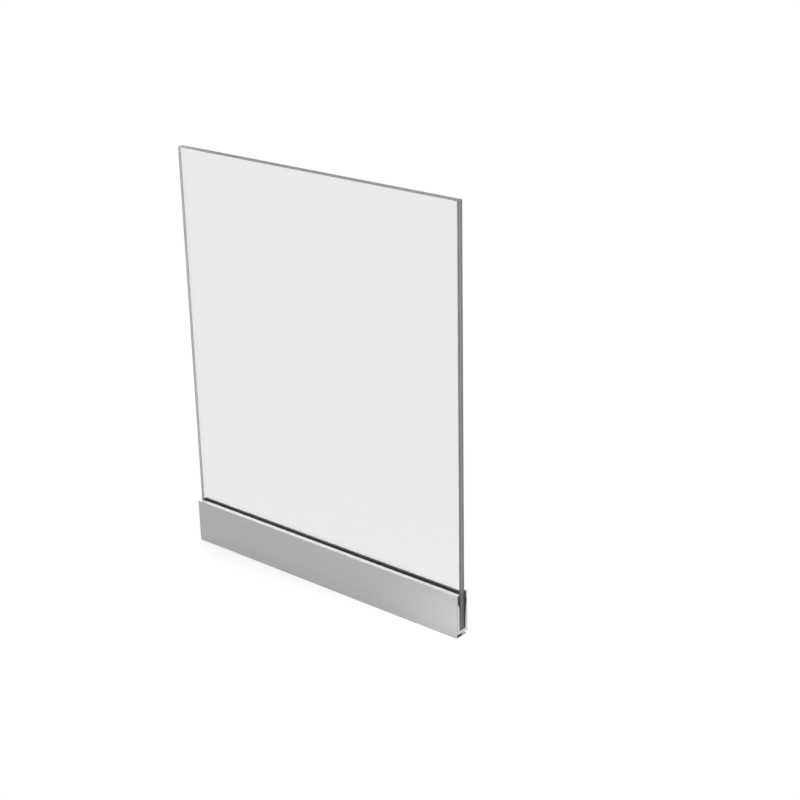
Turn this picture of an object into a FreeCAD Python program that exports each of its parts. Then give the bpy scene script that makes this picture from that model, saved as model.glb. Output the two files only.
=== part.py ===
"""Side-fixed glass balustrade panel: laminated glass clamped in an extruded aluminium base channel.

Millimetres. The origin is at mid-length, on the channel's fixing face, at floor level.
+X runs along the panel, +Y points into the floor edge that carries it, +Z is up.
"""
import FreeCAD, Part
import math
import os

from FreeCAD import Vector

# Shortest straight edge that a section keeps between two rounded corners
shortest_edge = 1e-6

# Glass pane
panel_length = 1000.0
guard_height = 1100.0
ply_thickness = 10.0
interlayer_thickness = 1.52
glass_arris = 1.0

# Base channel, walls across the section
upper_wall = 5.6
lower_wall = 9.0
front_wall = 11.1
recess_wall = 3.5
groove_depth = 1.5
web_thickness = 10.0
channel_edge_radius = 0.5

# Base channel, levels measured down from the floor, and the taper's end above the pocket's floor
shoulder_level = 20.5
taper_top_level = 38.5
recess_level = 27.5
recess_run = 14.0
pocket_level = 112.5
taper_end_rise = 24.5
pocket_corner_radius = 2.0

# Foot under the channel's web, and the rib that catches the cover
foot_drop = 9.5
foot_setback = 5.5
foot_reach = 12.5
foot_flange = 3.0
leg_thickness = 4.0
rib_thickness = 2.0
rib_drop = 3.5

# Front cover
cover_thickness = 2.5
cover_clearance = 0.5
cover_edge_radius = 1.2
seal_slot = 0.8
top_hook_drop = 2.0
hook_thickness = 1.6
hook_play = 0.75
hook_catch = 1.2
hook_edge_radius = 0.8

# Rubber gaskets
gasket_play = 0.2
outer_edge_drop = 0.3
inner_edge_drop = 0.5
gasket_edge_radius = 0.6

# Wedges, pads and setting blocks that hold the glass
set_count = 5
set_length = 80.0
set_end_margin = 10.0
wedge_foot = 3.6
wedge_top_gap = 2.0
wedge_low_gap = 3.0
wedge_edge_radius = 0.8
pad_thickness = 0.78
pad_top_gap = 2.0
block_thickness = 3.0

# Anchor holes in the back wall, and the holes in the front wall that reach them
anchor_hole = 14.0
anchor_head = 24.0
anchor_level = 60.0
access_play = 3.0

# Drain slots through the web and through the cover's lower edge
drain_length = 24.0
drain_width = 6.0

# Places across the section, from the fixing face outwards
upper_wall_y = -upper_wall
groove_y = upper_wall_y + groove_depth
lower_wall_y = -lower_wall
glass_back_y = lower_wall_y - wedge_foot
glass_front_y = glass_back_y - 2 * ply_thickness - interlayer_thickness
pocket_front_y = glass_front_y - pad_thickness
channel_front_y = pocket_front_y - front_wall
recess_y = channel_front_y + recess_wall
cover_back_y = channel_front_y - cover_clearance
cover_front_y = cover_back_y - cover_thickness

# Levels, from the floor downwards
cover_under_z = -cover_thickness
wall_top_z = cover_under_z - cover_clearance
top_hook_z = cover_under_z - top_hook_drop
recess_end_z = -recess_level
recess_taper_z = recess_end_z - recess_run
taper_top_z = -taper_top_level
pocket_floor_z = -pocket_level
taper_end_z = pocket_floor_z + taper_end_rise
glass_bottom_z = pocket_floor_z + block_thickness
web_under_z = pocket_floor_z - web_thickness
foot_z = web_under_z - foot_drop

# Places of the foot, the catching rib and the cover's hooks
foot_back_y = -foot_setback
leg_back_y = foot_back_y - foot_reach
leg_front_y = leg_back_y - leg_thickness
low_hook_back_y = leg_front_y - hook_play
low_hook_front_y = low_hook_back_y - hook_thickness
rib_back_y = low_hook_front_y - cover_clearance
rib_front_y = rib_back_y - rib_thickness
rib_z = web_under_z - rib_drop
low_hook_z = rib_z + hook_catch
return_z = foot_z + cover_thickness
top_hook_front_y = recess_y + cover_clearance
top_hook_back_y = top_hook_front_y + hook_thickness
cover_tip_y = glass_front_y - seal_slot
drain_y = (pocket_front_y + rib_front_y) / 2

# Stations along the panel: the sets that hold the glass, and the anchors midway between them
set_pitch = (panel_length - set_length - 2 * set_end_margin) / (set_count - 1)
set_places = [set_pitch * (i - (set_count - 1) / 2) for i in range(set_count)]
anchor_places = [x + set_pitch / 2 for x in set_places[:-1]]


def wall_y(z):
    """The back wall's inner face at a level on its taper."""
    share = (taper_top_z - z) / (taper_top_z - taper_end_z)
    return upper_wall_y + share * (lower_wall_y - upper_wall_y)


def section(corners):
    """A face across the panel from (y, z, radius) corners, each rounded by its radius."""
    points = [Vector(0, y, z) for y, z, radius in corners]
    starts = []
    ends = []
    edges = []
    arcs = []
    for i, (y, z, radius) in enumerate(corners):
        to_last = points[i - 1] - points[i]
        to_next = points[(i + 1) % len(points)] - points[i]
        half_turn = to_last.getAngle(to_next) / 2
        setback = min(radius / math.tan(half_turn), to_last.Length / 2, to_next.Length / 2)
        to_last.normalize()
        to_next.normalize()
        starts.append(points[i] + to_last * setback)
        ends.append(points[i] + to_next * setback)
        arcs.append(None)
        if setback > 0:
            inward = (to_last + to_next).normalize()
            arc_radius = setback * math.tan(half_turn)
            middle = points[i] + inward * (arc_radius / math.sin(half_turn) - arc_radius)
            arcs[i] = Part.Arc(starts[i], middle, ends[i]).toShape()
    for i in range(len(corners)):
        following = (i + 1) % len(corners)
        if arcs[i]:
            edges.append(arcs[i])
        if (starts[following] - ends[i]).Length > shortest_edge:
            edges.append(Part.LineSegment(ends[i], starts[following]).toShape())
    return Part.Face(Part.Wire(edges))


def extrude_along(corners, length, middle_x=0.0):
    """A profile of the given section, centred on middle_x."""
    solid = section(corners).extrude(Vector(length, 0, 0))
    solid.translate(Vector(middle_x - length / 2, 0, 0))
    return solid


def drain_slots(middle_y, top_z, low_z):
    """Round-ended slots along the panel, one under each anchor station."""
    slots = []
    straight = (drain_length - drain_width) / 2
    for x in anchor_places:
        box = Part.makeBox(2 * straight, drain_width, top_z - low_z)
        box.translate(Vector(x - straight, middle_y - drain_width / 2, low_z))
        slots.append(box)
        for end in (-straight, straight):
            slots.append(Part.makeCylinder(drain_width / 2, top_z - low_z, Vector(x + end, middle_y, low_z)))
    return slots


def anchor_tools():
    """Countersunk holes through the back wall, and the wider holes opposite in the front wall."""
    outward = Vector(0, -1, 0)
    hole_radius = anchor_hole / 2
    access_radius = (anchor_head + access_play) / 2
    head_y = wall_y(-anchor_level)
    cone_y = head_y + anchor_head / 2 - hole_radius
    cone_run = cone_y - glass_back_y
    access_run = glass_front_y - channel_front_y
    tools = []
    for x in anchor_places:
        hole_start = Vector(x, 0, -anchor_level)
        cone_start = Vector(x, cone_y, -anchor_level)
        access_start = Vector(x, glass_front_y, -anchor_level)
        tools.append(Part.makeCylinder(hole_radius, -head_y, hole_start, outward))
        tools.append(Part.makeCone(hole_radius, hole_radius + cone_run, cone_run, cone_start, outward))
        tools.append(Part.makeCylinder(access_radius, access_run, access_start, outward))
    return tools


def base_channel():
    """The extruded U channel with its gasket recesses, tapered back wall, foot and catching rib."""
    corners = [
        (0, 0, 0),
        (0, web_under_z, channel_edge_radius),
        (leg_back_y, web_under_z, channel_edge_radius),
        (leg_back_y, foot_z + foot_flange, channel_edge_radius),
        (foot_back_y, foot_z + foot_flange, channel_edge_radius),
        (foot_back_y, foot_z, channel_edge_radius),
        (leg_front_y, foot_z, channel_edge_radius),
        (leg_front_y, web_under_z, 0),
        (rib_back_y, web_under_z, 0),
        (rib_back_y, rib_z, 0),
        (rib_front_y, rib_z, channel_edge_radius),
        (rib_front_y, web_under_z, 0),
        (channel_front_y, web_under_z, channel_edge_radius),
        (channel_front_y, wall_top_z, channel_edge_radius),
        (recess_y, wall_top_z, channel_edge_radius),
        (recess_y, recess_end_z, 0),
        (pocket_front_y, recess_taper_z, 0),
        (pocket_front_y, pocket_floor_z, pocket_corner_radius),
        (lower_wall_y, pocket_floor_z, pocket_corner_radius),
        (lower_wall_y, taper_end_z, 0),
        (upper_wall_y, taper_top_z, 0),
        (groove_y, taper_top_z, 0),
        (groove_y, -shoulder_level, 0),
        (upper_wall_y, -shoulder_level, 0),
        (upper_wall_y, 0, 0),
    ]
    solid = extrude_along(corners, panel_length)
    return solid.cut(anchor_tools() + drain_slots(drain_y, pocket_floor_z, web_under_z))


def front_cover():
    """The clip-on cover: its top edge hooks over the front wall, its lower edge snaps behind the rib."""
    corners = [
        (cover_front_y, 0, cover_edge_radius),
        (cover_front_y, foot_z, cover_edge_radius),
        (low_hook_back_y, foot_z, 0),
        (low_hook_back_y, low_hook_z, hook_edge_radius),
        (low_hook_front_y, low_hook_z, 0),
        (low_hook_front_y, return_z, 0),
        (cover_back_y, return_z, 0),
        (cover_back_y, cover_under_z, 0),
        (top_hook_front_y, cover_under_z, 0),
        (top_hook_front_y, top_hook_z, 0),
        (top_hook_back_y, top_hook_z, hook_edge_radius),
        (top_hook_back_y, cover_under_z, 0),
        (cover_tip_y, cover_under_z, 0),
        (cover_tip_y, 0, hook_edge_radius),
    ]
    solid = extrude_along(corners, panel_length)
    return solid.cut(drain_slots(drain_y, return_z, foot_z))


def glass_ply(back_y):
    """One sheet of glass with ground arrises along all its edges."""
    height = guard_height - glass_bottom_z
    corner = Vector(-panel_length / 2, back_y - ply_thickness, glass_bottom_z)
    sheet = Part.makeBox(panel_length, ply_thickness, height, corner)
    rims = [edge for edge in sheet.Edges if edge.BoundBox.YLength < ply_thickness / 2]
    return sheet.makeChamfer(glass_arris, rims)


def glass_interlayer():
    """The bonding sheet, as large as the flat faces that it joins."""
    length = panel_length - 2 * glass_arris
    height = guard_height - glass_bottom_z - 2 * glass_arris
    front_y = glass_front_y + ply_thickness
    corner = Vector(-length / 2, front_y, glass_bottom_z + glass_arris)
    return Part.makeBox(length, interlayer_thickness, height, corner)


def outer_gasket():
    """The rubber in the front recess, with a thin lip that closes the slot between the cover and the glass."""
    body_front_y = recess_y + gasket_play
    neck_y = top_hook_back_y + gasket_play
    lip_y = cover_tip_y + gasket_play
    corners = [
        (glass_front_y, -outer_edge_drop, 0),
        (glass_front_y, recess_taper_z, 0),
        (pocket_front_y + gasket_play, recess_taper_z, 0),
        (body_front_y, recess_end_z, gasket_edge_radius),
        (body_front_y, top_hook_z - gasket_play, gasket_edge_radius),
        (neck_y, top_hook_z - gasket_play, 0),
        (neck_y, cover_under_z - gasket_play, gasket_edge_radius),
        (lip_y, cover_under_z - gasket_play, 0),
        (lip_y, -outer_edge_drop, 0),
    ]
    return extrude_along(corners, panel_length)


def inner_gasket():
    """The rubber between the glass and the back wall, its foot held under the wall's shoulder."""
    neck_y = upper_wall_y - gasket_play
    foot_y = groove_y - gasket_play
    shoulder_z = -shoulder_level - gasket_play
    low_z = taper_top_z + gasket_play
    corners = [
        (glass_back_y, 0, 0),
        (glass_back_y, low_z, gasket_edge_radius),
        (foot_y, low_z, gasket_edge_radius),
        (foot_y, shoulder_z, gasket_edge_radius),
        (neck_y, shoulder_z, 0),
        (neck_y, -inner_edge_drop, 0),
    ]
    return extrude_along(corners, panel_length)


def setting_block(middle_x):
    """The block that carries the glass, between the rounded corners of the channel's floor."""
    front_y = pocket_front_y + pocket_corner_radius
    back_y = lower_wall_y - pocket_corner_radius
    corner = Vector(middle_x - set_length / 2, front_y, pocket_floor_z)
    return Part.makeBox(set_length, back_y - front_y, block_thickness, corner)


def clamp_wedge(middle_x):
    """The wedge driven down between the glass and the tapered wall."""
    top_z = taper_top_z - wedge_top_gap
    low_z = taper_end_z + wedge_low_gap
    corners = [
        (glass_back_y, top_z, wedge_edge_radius),
        (glass_back_y, low_z, wedge_edge_radius),
        (wall_y(low_z), low_z, wedge_edge_radius),
        (wall_y(top_z), top_z, wedge_edge_radius),
    ]
    return extrude_along(corners, set_length, middle_x)


def bearing_pad(middle_x):
    """The thin pad between the glass and the front wall, opposite a wedge."""
    top_z = recess_taper_z - pad_top_gap
    corner = Vector(middle_x - set_length / 2, pocket_front_y, glass_bottom_z)
    return Part.makeBox(set_length, pad_thickness, top_z - glass_bottom_z, corner)


def main():
    """Build every piece and write each to its own file."""
    pieces = {
        "base_channel": base_channel(),
        "front_cover": front_cover(),
        "outer_glass_ply": glass_ply(glass_front_y + ply_thickness),
        "glass_interlayer": glass_interlayer(),
        "inner_glass_ply": glass_ply(glass_back_y),
        "outer_gasket": outer_gasket(),
        "inner_gasket": inner_gasket(),
    }
    for number, x in enumerate(set_places, start=1):
        pieces[f"setting_block_{number}"] = setting_block(x)
        pieces[f"clamp_wedge_{number}"] = clamp_wedge(x)
        pieces[f"bearing_pad_{number}"] = bearing_pad(x)
    os.makedirs("parts", exist_ok=True)
    for name, shape in pieces.items():
        shape.exportStep(f"parts/{name}.step")
    return pieces


main()
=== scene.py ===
"""Looks for a side-fixed glass balustrade panel, built round its packed construction.

Metres, in the construction's own frame: +X along the panel, +Y from the front cover to the fixing face,
and +Z up.
"""

import math

import bpy
from mathutils import Matrix, Vector


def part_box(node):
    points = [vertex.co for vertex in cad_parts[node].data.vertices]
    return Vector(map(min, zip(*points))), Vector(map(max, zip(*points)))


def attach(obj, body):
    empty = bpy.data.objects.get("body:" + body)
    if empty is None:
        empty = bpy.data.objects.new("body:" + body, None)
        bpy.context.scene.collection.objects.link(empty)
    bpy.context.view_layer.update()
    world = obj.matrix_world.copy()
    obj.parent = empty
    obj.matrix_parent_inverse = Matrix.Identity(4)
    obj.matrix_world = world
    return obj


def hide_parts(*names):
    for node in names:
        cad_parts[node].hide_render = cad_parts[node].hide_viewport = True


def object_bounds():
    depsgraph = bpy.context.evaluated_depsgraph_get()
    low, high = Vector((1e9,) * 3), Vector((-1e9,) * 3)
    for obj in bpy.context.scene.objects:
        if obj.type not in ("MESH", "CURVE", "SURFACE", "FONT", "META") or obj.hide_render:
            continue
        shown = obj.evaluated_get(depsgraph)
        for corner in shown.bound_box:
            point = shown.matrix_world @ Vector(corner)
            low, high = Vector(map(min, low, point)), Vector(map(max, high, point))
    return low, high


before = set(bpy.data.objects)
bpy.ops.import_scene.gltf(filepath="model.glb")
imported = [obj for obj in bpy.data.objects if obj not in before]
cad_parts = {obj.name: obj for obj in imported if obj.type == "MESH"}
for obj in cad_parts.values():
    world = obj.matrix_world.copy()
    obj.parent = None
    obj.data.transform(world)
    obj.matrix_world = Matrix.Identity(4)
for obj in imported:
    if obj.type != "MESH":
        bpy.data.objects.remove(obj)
cad_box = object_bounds()

bl_info = {
    "name": "Glass balustrade panel",
    "version": (1, 0, 0),
    "blender": (4, 5, 0),
    "location": "3D View > Sidebar > Balustrade",
    "description": "Laminated pane, finishes and studio for a side-fixed glass balustrade panel",
    "category": "Object",
}

MM = 0.001
ALUMINIUM_NODES = ("base_channel", "front_cover")
GASKET_NODES = ("outer_gasket", "inner_gasket")
GLASS_NODES = ("outer_glass_ply", "glass_interlayer", "inner_glass_ply")
BLOCK_NAMES = ("setting_block", "clamp_wedge")
PAD_NAME = "bearing_pad"

# The smallest spacing that a pattern may be set to.
FINEST = 0.1 * MM

# Refraction of the glass, of the bonding film and of the rubber and plastics.
GLASS_IOR = 1.52
FILM_IOR = 1.48
POLYMER_IOR = 1.5

# Sockets of a node that mixes two colours: its factor, the two colours, and its result.
MIX_FACTOR = 0
MIX_FIRST = 6
MIX_SECOND = 7
MIX_RESULT = 2


def linear(hex_colour):
    """A linear colour from an sRGB hex value such as #C0C2C4."""
    levels = [int(hex_colour[i:i + 2], 16) / 255 for i in (1, 3, 5)]
    return tuple(v / 12.92 if v <= 0.04045 else ((v + 0.055) / 1.055) ** 2.4 for v in levels)


def opaque(colour, gain=1.0):
    """A colour with full alpha, as shader sockets take it, made a little lighter or darker by the gain."""
    return (*[gain * level for level in colour], 1.0)


def add_node(tree, kind, inputs=None, **settings):
    """Add a node, set its settings, and set or link its inputs."""
    node = tree.nodes.new(kind)
    for name, value in settings.items():
        setattr(node, name, value)
    for name, value in (inputs or {}).items():
        if isinstance(value, bpy.types.NodeSocket):
            tree.links.new(value, node.inputs[name])
        else:
            node.inputs[name].default_value = value
    return node


def new_finish(name):
    """An empty node material, with its tree and its surface socket."""
    finish = bpy.data.materials.new(name)
    finish.use_nodes = True
    finish.node_tree.nodes.clear()
    output = add_node(finish.node_tree, "ShaderNodeOutputMaterial")
    return finish, finish.node_tree, output.inputs["Surface"]


def pass_lamplight(tree, surface, shader, tint):
    """Join a clear shader to the surface, and let the lamps shine through it with a plain tint."""
    through = add_node(tree, "ShaderNodeBsdfTransparent", {"Color": opaque(tint)})
    path = add_node(tree, "ShaderNodeLightPath")
    both = add_node(tree, "ShaderNodeMixShader", {
        0: path.outputs["Is Shadow Ray"], 1: shader.outputs[0], 2: through.outputs[0]})
    tree.links.new(both.outputs[0], surface)


class PaneSettings(bpy.types.PropertyGroup):
    """Sizes and colours of the laminated pane."""
    arris: bpy.props.FloatProperty(
        name="Arris", description="Width of the ground corner along every edge of a sheet",
        default=1.0 * MM, min=0.0, unit="LENGTH")
    face_tint: bpy.props.FloatVectorProperty(
        name="Face tint", description="What the whole pane lets through",
        default=linear("#E7E7E7"), size=3, subtype="COLOR")
    edge_colour: bpy.props.FloatVectorProperty(
        name="Edge colour", description="Grey of the fine-ground edges",
        default=linear("#B9B9B9"), size=3, subtype="COLOR")
    film_colour: bpy.props.FloatVectorProperty(
        name="Film colour", description="Cut edge of the bonding film",
        default=linear("#F4F4F4"), size=3, subtype="COLOR")
    smear_width: bpy.props.FloatProperty(
        name="Smear width", description="Breadth of the faint wiping marks on the faces",
        default=60.0 * MM, min=FINEST, unit="LENGTH")
    smear_haze: bpy.props.FloatProperty(
        name="Smear haze", description="Roughness of a face where a wiping mark is heaviest",
        default=0.02, min=0.0, max=1.0, subtype="FACTOR")
    grit: bpy.props.FloatProperty(
        name="Grit",
        description="Spacing of the grinding marks on the edges, coarser than real so that they show",
        default=2.0 * MM, min=FINEST, unit="LENGTH")
    chatter: bpy.props.FloatProperty(
        name="Chatter",
        description="Spacing of the blade's marks on the film, coarser than real so that they show",
        default=8.0 * MM, min=FINEST, unit="LENGTH")


class ChannelSettings(bpy.types.PropertyGroup):
    """Sizes and colours of the aluminium finish."""
    colour: bpy.props.FloatVectorProperty(
        name="Aluminium", description="Natural anodised aluminium",
        default=linear("#ABABAD"), size=3, subtype="COLOR")
    cut_colour: bpy.props.FloatVectorProperty(
        name="Cut end", description="Bare aluminium on the sawn ends",
        default=linear("#C0C1C2"), size=3, subtype="COLOR")
    roughness: bpy.props.FloatProperty(
        name="Roughness", description="Satin of the etched and anodised surface",
        default=0.38, min=0.0, max=1.0, subtype="FACTOR")
    cloud_width: bpy.props.FloatProperty(
        name="Cloud width",
        description="Breadth of the patches where the satin is a little duller or brighter",
        default=45.0 * MM, min=FINEST, unit="LENGTH")
    line_spacing: bpy.props.FloatProperty(
        name="Line spacing", description="Spacing of the die's lines across the profile, coarser than real",
        default=2.4 * MM, min=FINEST, unit="LENGTH")
    line_length: bpy.props.FloatProperty(
        name="Line length", description="Length over which one of the die's lines fades into the next",
        default=500.0 * MM, min=FINEST, unit="LENGTH")
    saw_spacing: bpy.props.FloatProperty(
        name="Saw spacing", description="Spacing of the saw's marks on the ends, coarser than real",
        default=1.6 * MM, min=FINEST, unit="LENGTH")


class SealSettings(bpy.types.PropertyGroup):
    """Sizes and colours of the rubber and plastic finishes."""
    rubber: bpy.props.FloatVectorProperty(
        name="Rubber", description="Black gasket rubber",
        default=linear("#121212"), size=3, subtype="COLOR")
    bloom: bpy.props.FloatVectorProperty(
        name="Bloom", description="Grey bloom on the rubber, and the darker patches of the blocks",
        default=linear("#1E1E1F"), size=3, subtype="COLOR")
    block: bpy.props.FloatVectorProperty(
        name="Block",
        description="Plastic of the wedges and setting blocks, and the darker patches of the pads",
        default=linear("#3A3B3D"), size=3, subtype="COLOR")
    pad: bpy.props.FloatVectorProperty(
        name="Pad", description="Plastic of the thin bearing pads",
        default=linear("#5A5B5C"), size=3, subtype="COLOR")
    patch_width: bpy.props.FloatProperty(
        name="Patch width", description="Breadth of the patches of the second tone",
        default=30.0 * MM, min=FINEST, unit="LENGTH")


class StageSettings(bpy.types.PropertyGroup):
    """Floor, light and camera."""
    floor_colour: bpy.props.FloatVectorProperty(
        name="Floor", description="Pale studio floor",
        default=linear("#C8C8C8"), size=3, subtype="COLOR")
    floor_lift: bpy.props.FloatProperty(
        name="Floor lift", description="Light added to the floor as it is seen, so that it reads white",
        default=0.63, min=0.0)
    floor_size: bpy.props.FloatProperty(
        name="Floor size", description="Length of the floor's side", default=60.0, unit="LENGTH")
    ambient: bpy.props.FloatProperty(
        name="Ambient", description="Light that the white room throws on the object", default=0.50, min=0.0)
    room_white: bpy.props.FloatProperty(
        name="Room white",
        description="Brightness of the room where it is seen, and of the floor seen through the glass",
        default=1.02, min=0.0)
    skylight: bpy.props.FloatProperty(
        name="Skylight", description="Strength of the even light from behind", default=1.0, min=0.0)
    skylight_from: bpy.props.FloatVectorProperty(
        name="Skylight from", description="Direction from the panel to the skylight",
        default=(-0.709, 0.410, 0.574), size=3, subtype="DIRECTION")
    skylight_angle: bpy.props.FloatProperty(
        name="Skylight angle", description="How wide the skylight looks from the panel",
        default=math.radians(52), min=0.0, subtype="ANGLE")
    end_lamp: bpy.props.FloatProperty(
        name="End lamp", description="Power of the small lamp by the near end",
        default=0.92, min=0.0, unit="POWER")
    end_lamp_length: bpy.props.FloatProperty(
        name="End lamp length", description="Length of the small lamp", default=0.08, unit="LENGTH")
    end_lamp_inset: bpy.props.FloatProperty(
        name="End lamp inset", description="From the near end to the middle of the small lamp",
        default=0.02, unit="LENGTH")
    front_lamp: bpy.props.FloatProperty(
        name="Front lamp", description="Power of the long lamp in front of the cover",
        default=0.21, min=0.0, unit="POWER")
    front_lamp_length: bpy.props.FloatProperty(
        name="Front lamp length", description="Length of the long lamp", default=0.90, unit="LENGTH")
    lamp_width: bpy.props.FloatProperty(
        name="Lamp width", description="Width of both lamps", default=0.05, unit="LENGTH")
    lamp_reach: bpy.props.FloatProperty(
        name="Lamp reach", description="From the fixing face forward to both lamps",
        default=0.12, unit="LENGTH")
    lamp_height: bpy.props.FloatProperty(
        name="Lamp height", description="Height of both lamps over the top of the channel",
        default=0.12, unit="LENGTH")
    lamp_tilt: bpy.props.FloatProperty(
        name="Lamp tilt", description="Turn of both lamps from straight down towards the front",
        default=math.radians(50), subtype="ANGLE")
    eye: bpy.props.FloatVectorProperty(
        name="Eye", description="Place of the camera",
        default=(2.9915, -3.2308, 2.1996), size=3, subtype="TRANSLATION", unit="LENGTH")
    aim: bpy.props.FloatVectorProperty(
        name="Aim", description="Point that the camera looks at",
        default=(0.2781, -0.0052, 0.5066), size=3, subtype="TRANSLATION", unit="LENGTH")
    roll: bpy.props.FloatProperty(
        name="Roll", description="Turn of the camera about its line of sight",
        default=math.radians(-1.146), subtype="ANGLE")
    lens: bpy.props.FloatProperty(
        name="Lens", description="Focal length in millimetres on a 36 mm sensor", default=75.866, min=1.0)


def polished_float_glass(pane):
    """Float glass, its faces as they left the furnace: clear and sharp, a little grey through 21 mm,
    with wiping marks so faint that they only soften a reflection. Lamps shine through it."""
    finish, tree, surface = new_finish("Polished float glass")
    clean_below = 0.45
    heaviest_above = 0.75
    place = add_node(tree, "ShaderNodeTexCoord")
    smears = add_node(tree, "ShaderNodeTexNoise", {
        "Vector": place.outputs["Object"], "Scale": 1.0 / pane.smear_width, "Detail": 3.0})
    softness = add_node(tree, "ShaderNodeMapRange", {
        "Value": smears.outputs["Fac"], "From Min": clean_below, "From Max": heaviest_above,
        "To Min": 0.0, "To Max": pane.smear_haze})
    glass = add_node(tree, "ShaderNodeBsdfPrincipled", {
        "Base Color": opaque(pane.face_tint), "Roughness": softness.outputs["Result"],
        "IOR": GLASS_IOR, "Transmission Weight": 1.0})
    # A lamp's ray goes in through one face and out through the other, so each takes the root of the tint.
    face_share = [math.sqrt(level) for level in pane.face_tint]
    pass_lamplight(tree, surface, glass, face_share)
    return finish


def ground_glass_edge(pane):
    """Glass edges, ground flat with a fine wheel: the frosted skin turns the clear glass into an even grey
    that still takes some light from inside the pane, with faint lighter and darker marks from the wheel."""
    finish, tree, surface = new_finish("Fine-ground glass edge")
    contrast = 0.10
    smoothest = 0.65
    roughest = 0.80
    place = add_node(tree, "ShaderNodeTexCoord")
    marks = add_node(tree, "ShaderNodeTexNoise", {
        "Vector": place.outputs["Object"], "Scale": 1.0 / pane.grit, "Detail": 2.0})
    softness = add_node(tree, "ShaderNodeMapRange", {
        "Value": marks.outputs["Fac"], "To Min": smoothest, "To Max": roughest})
    frost = add_node(tree, "ShaderNodeMix", {
        MIX_FACTOR: marks.outputs["Fac"],
        MIX_FIRST: opaque(pane.edge_colour, 1.0 - contrast),
        MIX_SECOND: opaque(pane.edge_colour, 1.0 + contrast)}, data_type="RGBA")
    relief = add_node(tree, "ShaderNodeBump", {
        "Height": marks.outputs["Fac"], "Strength": 0.3, "Distance": 0.1 * MM})
    edge = add_node(tree, "ShaderNodeBsdfPrincipled", {
        "Base Color": frost.outputs[MIX_RESULT], "Roughness": softness.outputs["Result"],
        "Normal": relief.outputs["Normal"], "IOR": GLASS_IOR, "Transmission Weight": 0.8})
    pass_lamplight(tree, surface, edge, pane.edge_colour)
    return finish


def bonding_film_edge(pane):
    """Polyvinyl butyral film, trimmed with a blade: a pale, milky line between the sheets,
    a little brighter and duller by turns where the blade chattered."""
    finish, tree, surface = new_finish("Trimmed polyvinyl butyral film")
    contrast = 0.08
    smoothest = 0.35
    roughest = 0.55
    place = add_node(tree, "ShaderNodeTexCoord")
    waves = add_node(tree, "ShaderNodeTexNoise", {
        "Vector": place.outputs["Object"], "Scale": 1.0 / pane.chatter, "Detail": 2.0})
    softness = add_node(tree, "ShaderNodeMapRange", {
        "Value": waves.outputs["Fac"], "To Min": smoothest, "To Max": roughest})
    milk = add_node(tree, "ShaderNodeMix", {
        MIX_FACTOR: waves.outputs["Fac"],
        MIX_FIRST: opaque(pane.film_colour, 1.0 - contrast),
        MIX_SECOND: opaque(pane.film_colour, 1.0 + contrast)}, data_type="RGBA")
    film = add_node(tree, "ShaderNodeBsdfPrincipled", {
        "Base Color": milk.outputs[MIX_RESULT], "Roughness": softness.outputs["Result"], "IOR": FILM_IOR})
    tree.links.new(film.outputs[0], surface)
    return finish


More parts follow.
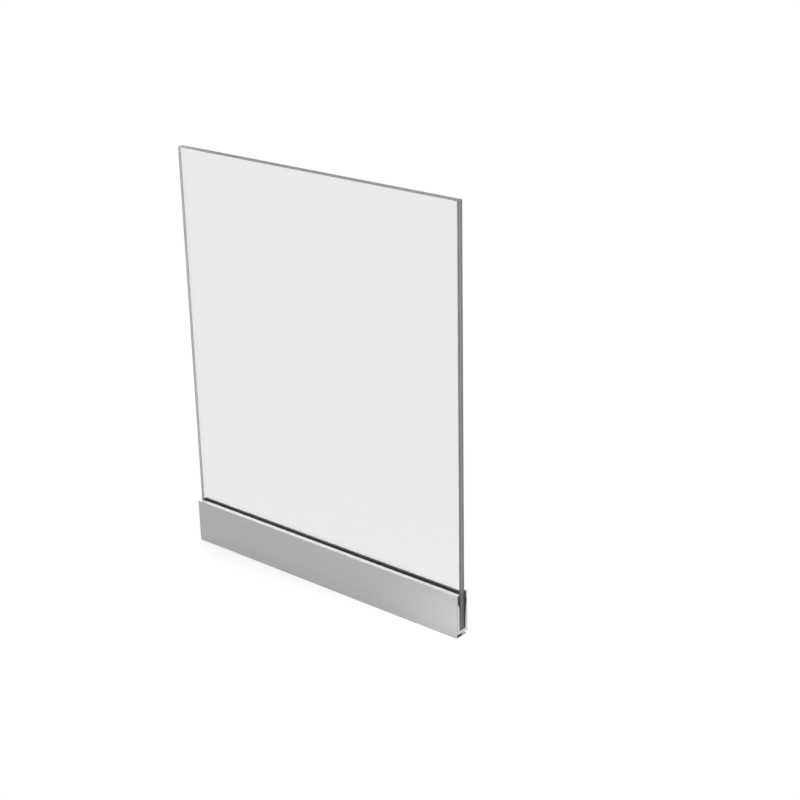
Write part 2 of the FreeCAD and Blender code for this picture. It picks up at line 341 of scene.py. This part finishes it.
def satin_anodised_aluminium(channel, half_length):
    """Extruded aluminium, etched and anodised in its natural colour: a soft satin with faint lines along
    the profile from the die, and brighter sawn ends that show the blade's marks."""
    finish, tree, surface = new_finish("Satin anodised aluminium")
    line_contrast = 0.06
    saw_contrast = 0.05
    satin_spread = 0.04
    sawn_depth = 0.2 * MM
    # The wave texture multiplies its coordinates by ten, and on an end its bands run across a diagonal.
    wave_gain = 10.0 * math.sqrt(2.0)
    lines_per_metre = 1.0 / channel.line_spacing
    place = add_node(tree, "ShaderNodeTexCoord")
    along = add_node(tree, "ShaderNodeMapping", {
        "Vector": place.outputs["Object"],
        "Scale": (1.0 / channel.line_length, lines_per_metre, lines_per_metre)})
    lines = add_node(tree, "ShaderNodeTexNoise", {"Vector": along.outputs[0], "Scale": 1.0, "Detail": 3.0})
    cloud = add_node(tree, "ShaderNodeTexNoise", {
        "Vector": place.outputs["Object"], "Scale": 1.0 / channel.cloud_width, "Detail": 3.0})
    across = add_node(tree, "ShaderNodeSeparateXYZ", {0: place.outputs["Object"]})
    offset = add_node(tree, "ShaderNodeMath", {0: across.outputs["X"]}, operation="ABSOLUTE")
    sawn = add_node(tree, "ShaderNodeMath", {
        0: offset.outputs[0], 1: half_length - sawn_depth}, operation="GREATER_THAN")
    saw = add_node(tree, "ShaderNodeTexWave", {
        "Vector": place.outputs["Object"], "Scale": math.tau / (wave_gain * channel.saw_spacing),
        "Distortion": 1.5, "Detail": 2.0}, bands_direction="DIAGONAL")
    marks = add_node(tree, "ShaderNodeMix", {
        "Factor": sawn.outputs[0], "A": lines.outputs["Fac"], "B": saw.outputs["Fac"]}, data_type="FLOAT")
    relief = add_node(tree, "ShaderNodeBump", {
        "Height": marks.outputs[0], "Strength": 0.2, "Distance": 0.08 * MM})
    dull = add_node(tree, "ShaderNodeMix", {
        MIX_FACTOR: sawn.outputs[0],
        MIX_FIRST: opaque(channel.colour, 1.0 - line_contrast),
        MIX_SECOND: opaque(channel.cut_colour, 1.0 - saw_contrast)}, data_type="RGBA")
    bright = add_node(tree, "ShaderNodeMix", {
        MIX_FACTOR: sawn.outputs[0],
        MIX_FIRST: opaque(channel.colour, 1.0 + line_contrast),
        MIX_SECOND: opaque(channel.cut_colour, 1.0 + saw_contrast)}, data_type="RGBA")
    colour = add_node(tree, "ShaderNodeMix", {
        MIX_FACTOR: marks.outputs[0],
        MIX_FIRST: dull.outputs[MIX_RESULT],
        MIX_SECOND: bright.outputs[MIX_RESULT]}, data_type="RGBA")
    satin = add_node(tree, "ShaderNodeMapRange", {
        "Value": cloud.outputs["Fac"],
        "To Min": channel.roughness - satin_spread, "To Max": channel.roughness + satin_spread})
    metal = add_node(tree, "ShaderNodeBsdfPrincipled", {
        "Base Color": colour.outputs[MIX_RESULT], "Metallic": 1.0, "Roughness": satin.outputs["Result"],
        "Normal": relief.outputs["Normal"]})
    tree.links.new(metal.outputs[0], surface)
    return finish


def matt_polymer(name, colour, second_tone, patch_width, grain, smoothest, roughest):
    """Rubber or plastic with a matt skin from its die or mould: nearly even in colour, with soft patches
    of a second tone, and a grain that breaks up the shine. The grain is coarser than real so it shows."""
    finish, tree, surface = new_finish(name)
    place = add_node(tree, "ShaderNodeTexCoord")
    patches = add_node(tree, "ShaderNodeTexNoise", {
        "Vector": place.outputs["Object"], "Scale": 1.0 / patch_width, "Detail": 4.0})
    skin = add_node(tree, "ShaderNodeTexNoise", {
        "Vector": place.outputs["Object"], "Scale": 1.0 / grain, "Detail": 2.0})
    tone = add_node(tree, "ShaderNodeMix", {
        MIX_FACTOR: patches.outputs["Fac"],
        MIX_FIRST: opaque(colour),
        MIX_SECOND: opaque(second_tone)}, data_type="RGBA")
    matt = add_node(tree, "ShaderNodeMapRange", {
        "Value": patches.outputs["Fac"], "To Min": smoothest, "To Max": roughest})
    relief = add_node(tree, "ShaderNodeBump", {
        "Height": skin.outputs["Fac"], "Strength": 0.3, "Distance": 0.08 * MM})
    body = add_node(tree, "ShaderNodeBsdfPrincipled", {
        "Base Color": tone.outputs[MIX_RESULT], "Roughness": matt.outputs["Result"],
        "Normal": relief.outputs["Normal"], "IOR": POLYMER_IOR})
    tree.links.new(body.outputs[0], surface)
    return finish


def dress(nodes, finish):
    """Give construction nodes a finish, in their objects' own material slots."""
    for name in nodes:
        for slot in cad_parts[name].material_slots:
            slot.material = finish


class BALUSTRADE_OT_laminated_pane(bpy.types.Operator):
    """Model the laminated pane in one piece, with ground arrises and the film's line between the sheets"""
    bl_idname = "balustrade.laminated_pane"
    bl_label = "Laminated pane"

    def execute(self, context):
        pane = context.scene.balustrade_pane
        front_low, front_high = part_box("outer_glass_ply")
        film_low, film_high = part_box("glass_interlayer")
        back_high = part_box("inner_glass_ply")[1]
        middle = (front_low + back_high) / 2
        width = front_high.x - front_low.x
        height = front_high.z - front_low.z
        full = (width, height)
        narrow = (width - 2 * pane.arris, height - 2 * pane.arris)
        # How wide and high the pane is at each step from its front face to its back face.
        levels = [
            (front_low.y + pane.arris, full),
            (film_low.y - pane.arris, full),
            (film_low.y, narrow),
            (film_high.y, narrow),
            (film_high.y + pane.arris, full),
            (back_high.y - pane.arris, full),
            (back_high.y, narrow),
        ]
        bpy.ops.object.select_all(action="DESELECT")
        bpy.ops.mesh.primitive_plane_add(size=1.0, rotation=(math.radians(90), 0, 0))
        sheet = context.object
        sheet.name = "laminated_pane"
        bpy.ops.object.transform_apply(location=True, rotation=True, scale=True)
        bpy.ops.object.mode_set(mode="EDIT")
        bpy.ops.mesh.select_all(action="SELECT")
        bpy.ops.transform.resize(value=(narrow[0], 1, narrow[1]), center_override=(0, 0, 0))
        bpy.ops.transform.translate(value=(middle.x, front_low.y, middle.z))
        last_y, last = front_low.y, narrow
        for y, size in levels:
            bpy.ops.mesh.extrude_region_move(TRANSFORM_OT_translate={"value": (0, y - last_y, 0)})
            if size != last:
                bpy.ops.transform.resize(
                    value=(size[0] / last[0], 1, size[1] / last[1]),
                    center_override=(middle.x, y, middle.z))
            last_y, last = y, size
        bpy.ops.mesh.select_all(action="SELECT")
        bpy.ops.mesh.normals_make_consistent(inside=False)
        bpy.ops.object.mode_set(mode="OBJECT")
        finishes = (polished_float_glass(pane), ground_glass_edge(pane), bonding_film_edge(pane))
        faces, edges, film = range(len(finishes))
        for finish in finishes:
            sheet.data.materials.append(finish)
        # Past this share of Y in its normal, a facet belongs to the pane's front or back face.
        square_on = 0.9
        for face in sheet.data.polygons:
            if abs(face.normal.y) > square_on:
                face.material_index = faces
            elif film_low.y < face.center.y < film_high.y:
                face.material_index = film
            else:
                face.material_index = edges
        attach(sheet, "root")
        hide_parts(*GLASS_NODES)
        return {"FINISHED"}


class BALUSTRADE_OT_aluminium(bpy.types.Operator):
    """Finish the base channel and the front cover in satin anodised aluminium"""
    bl_idname = "balustrade.aluminium"
    bl_label = "Channel and cover"

    def execute(self, context):
        half_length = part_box("base_channel")[1].x
        dress(ALUMINIUM_NODES, satin_anodised_aluminium(context.scene.balustrade_channel, half_length))
        return {"FINISHED"}


class BALUSTRADE_OT_seals(bpy.types.Operator):
    """Finish the gaskets in black rubber, and the blocks, wedges and pads in dark plastic"""
    bl_idname = "balustrade.seals"
    bl_label = "Gaskets and blocks"

    def execute(self, context):
        seals = context.scene.balustrade_seals
        blocks = [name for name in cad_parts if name.startswith(BLOCK_NAMES)]
        pads = [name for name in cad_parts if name.startswith(PAD_NAME)]
        dress(GASKET_NODES, matt_polymer(
            "Extruded black EPDM rubber", seals.rubber, seals.bloom, seals.patch_width,
            grain=0.8 * MM, smoothest=0.6, roughest=0.8))
        dress(blocks, matt_polymer(
            "Moulded dark polyamide", seals.block, seals.bloom, seals.patch_width,
            grain=0.5 * MM, smoothest=0.4, roughest=0.55))
        dress(pads, matt_polymer(
            "Sheet polyethylene", seals.pad, seals.block, seals.patch_width,
            grain=1.0 * MM, smoothest=0.35, roughest=0.5))
        return {"FINISHED"}


class BALUSTRADE_OT_stage(bpy.types.Operator):
    """Set up the white floor, the soft lamps and the camera"""
    bl_idname = "balustrade.stage"
    bl_label = "Studio"

    def execute(self, context):
        scene = context.scene
        stage = scene.balustrade_stage
        middle = (cad_box[0].x + cad_box[1].x) / 2
        near_end = cad_box[1].x
        self.add_floor(context, stage)
        self.add_room(scene, stage)
        self.add_skylight(context, stage)
        self.add_softbox(
            context, stage, "End lamp",
            x=near_end - stage.end_lamp_inset, length=stage.end_lamp_length, power=stage.end_lamp)
        self.add_softbox(
            context, stage, "Front lamp",
            x=middle, length=stage.front_lamp_length, power=stage.front_lamp)
        self.add_camera(context, stage)
        scene.view_settings.view_transform = "Standard"
        return {"FINISHED"}

    def add_floor(self, context, stage):
        """A wide white floor at the channel's foot. It is lit, so it keeps the shadow, and it is lifted
        to white where it is seen. Through the glass it is plain white, so that the pane looks even."""
        bpy.ops.object.select_all(action="DESELECT")
        bpy.ops.mesh.primitive_plane_add(size=stage.floor_size, location=(0, 0, cad_box[0].z))
        floor = context.object
        floor.name = "studio_floor"
        bpy.ops.object.transform_apply(location=True, rotation=True, scale=True)
        finish, tree, surface = new_finish("White studio floor")
        paint = add_node(tree, "ShaderNodeBsdfDiffuse", {"Color": opaque(stage.floor_colour)})
        seen = self.seen_share(tree)
        strength = add_node(tree, "ShaderNodeMath", {0: seen, 1: stage.floor_lift}, operation="MULTIPLY")
        lift = add_node(tree, "ShaderNodeEmission", {"Strength": strength.outputs[0]})
        both = add_node(tree, "ShaderNodeAddShader", {0: paint.outputs[0], 1: lift.outputs[0]})
        plain = add_node(tree, "ShaderNodeEmission", {"Strength": stage.room_white})
        path = add_node(tree, "ShaderNodeLightPath")
        ground = add_node(tree, "ShaderNodeMixShader", {
            0: path.outputs["Is Transmission Ray"], 1: both.outputs[0], 2: plain.outputs[0]})
        tree.links.new(ground.outputs[0], surface)
        finish.cycles.emission_sampling = "NONE"
        floor.data.materials.append(finish)

    def add_room(self, scene, stage):
        """A white room: white where it is seen, softer where it lights the object."""
        room = bpy.data.worlds.new("White room")
        room.use_nodes = True
        tree = room.node_tree
        tree.nodes.clear()
        seen = self.seen_share(tree)
        strength = add_node(tree, "ShaderNodeMapRange", {
            "Value": seen, "To Min": stage.ambient, "To Max": stage.room_white})
        glow = add_node(tree, "ShaderNodeBackground", {
            "Color": (1, 1, 1, 1), "Strength": strength.outputs["Result"]})
        output = add_node(tree, "ShaderNodeOutputWorld")
        tree.links.new(glow.outputs[0], output.inputs["Surface"])
        room.cycles.sampling_method = "NONE"
        scene.world = room

    def seen_share(self, tree):
        """One where a surface is looked at, in a mirror or through glass too, and nought where it only
        lights."""
        path = add_node(tree, "ShaderNodeLightPath")
        mirrored = add_node(tree, "ShaderNodeMath", {
            0: path.outputs["Is Camera Ray"], 1: path.outputs["Is Glossy Ray"]}, operation="MAXIMUM")
        through = add_node(tree, "ShaderNodeMath", {
            0: mirrored.outputs[0], 1: path.outputs["Is Transmission Ray"]}, operation="MAXIMUM")
        return through.outputs[0]

    def add_skylight(self, context, stage):
        """Wide, even light from high behind the panel, as from a large window: it reaches the whole floor
        alike. Only its light counts: the glass neither mirrors it nor shows it from behind."""
        bpy.ops.object.light_add(type="SUN")
        lamp = context.object
        lamp.name = "Skylight"
        lamp.data.energy = stage.skylight
        lamp.data.angle = stage.skylight_angle
        lamp.data.cycles.use_multiple_importance_sampling = False
        lamp.rotation_euler = Vector(stage.skylight_from).to_track_quat("Z", "Y").to_euler()
        lamp.visible_transmission = False

    def add_softbox(self, context, stage, name, x, length, power):
        """A low lamp over the floor in front of the cover, its back to the pane: the cover mirrors that
        floor. Only its light counts, as with the skylight."""
        bpy.ops.object.light_add(type="AREA", location=(x, -stage.lamp_reach, stage.lamp_height))
        lamp = context.object
        lamp.name = name
        lamp.data.shape = "RECTANGLE"
        lamp.data.size = length
        lamp.data.size_y = stage.lamp_width
        lamp.data.energy = power
        lamp.data.cycles.use_multiple_importance_sampling = False
        lamp.rotation_euler = (-stage.lamp_tilt, 0, 0)
        lamp.visible_camera = False
        lamp.visible_transmission = False

    def add_camera(self, context, stage):
        """The camera at the viewing angle, its small roll about the line of sight included."""
        bpy.ops.object.camera_add()
        camera = context.object
        eye = Vector(stage.eye)
        sight = (Vector(stage.aim) - eye).to_track_quat("-Z", "Y").to_matrix().to_4x4()
        camera.matrix_world = Matrix.Translation(eye) @ sight @ Matrix.Rotation(stage.roll, 4, "Z")
        camera.data.lens = stage.lens
        context.scene.camera = camera


class BALUSTRADE_PT_looks(bpy.types.Panel):
    """The panel's pieces, finishes and studio"""
    bl_idname = "BALUSTRADE_PT_looks"
    bl_label = "Glass balustrade"
    bl_space_type = "VIEW_3D"
    bl_region_type = "UI"
    bl_category = "Balustrade"

    def draw(self, context):
        for (group, kind), maker in zip(SETTINGS.items(), MAKERS):
            box = self.layout.box()
            for name in kind.__annotations__:
                box.prop(getattr(context.scene, group), name)
            box.operator(maker.bl_idname)


SETTINGS = {
    "balustrade_pane": PaneSettings,
    "balustrade_channel": ChannelSettings,
    "balustrade_seals": SealSettings,
    "balustrade_stage": StageSettings,
}
MAKERS = (
    BALUSTRADE_OT_laminated_pane,
    BALUSTRADE_OT_aluminium,
    BALUSTRADE_OT_seals,
    BALUSTRADE_OT_stage,
)
CLASSES = (*SETTINGS.values(), *MAKERS, BALUSTRADE_PT_looks)


def register():
    """Register the settings, the operators and the panel."""
    for item in CLASSES:
        bpy.utils.register_class(item)
    for group, kind in SETTINGS.items():
        setattr(bpy.types.Scene, group, bpy.props.PointerProperty(type=kind))


def unregister():
    """Take the settings, the operators and the panel away again."""
    for group in SETTINGS:
        delattr(bpy.types.Scene, group)
    for item in reversed(CLASSES):
        bpy.utils.unregister_class(item)


def main():
    """Make every piece and the studio."""
    register()
    bpy.ops.balustrade.laminated_pane()
    bpy.ops.balustrade.aluminium()
    bpy.ops.balustrade.seals()
    bpy.ops.balustrade.stage()


if __name__ == "__main__":
    main()
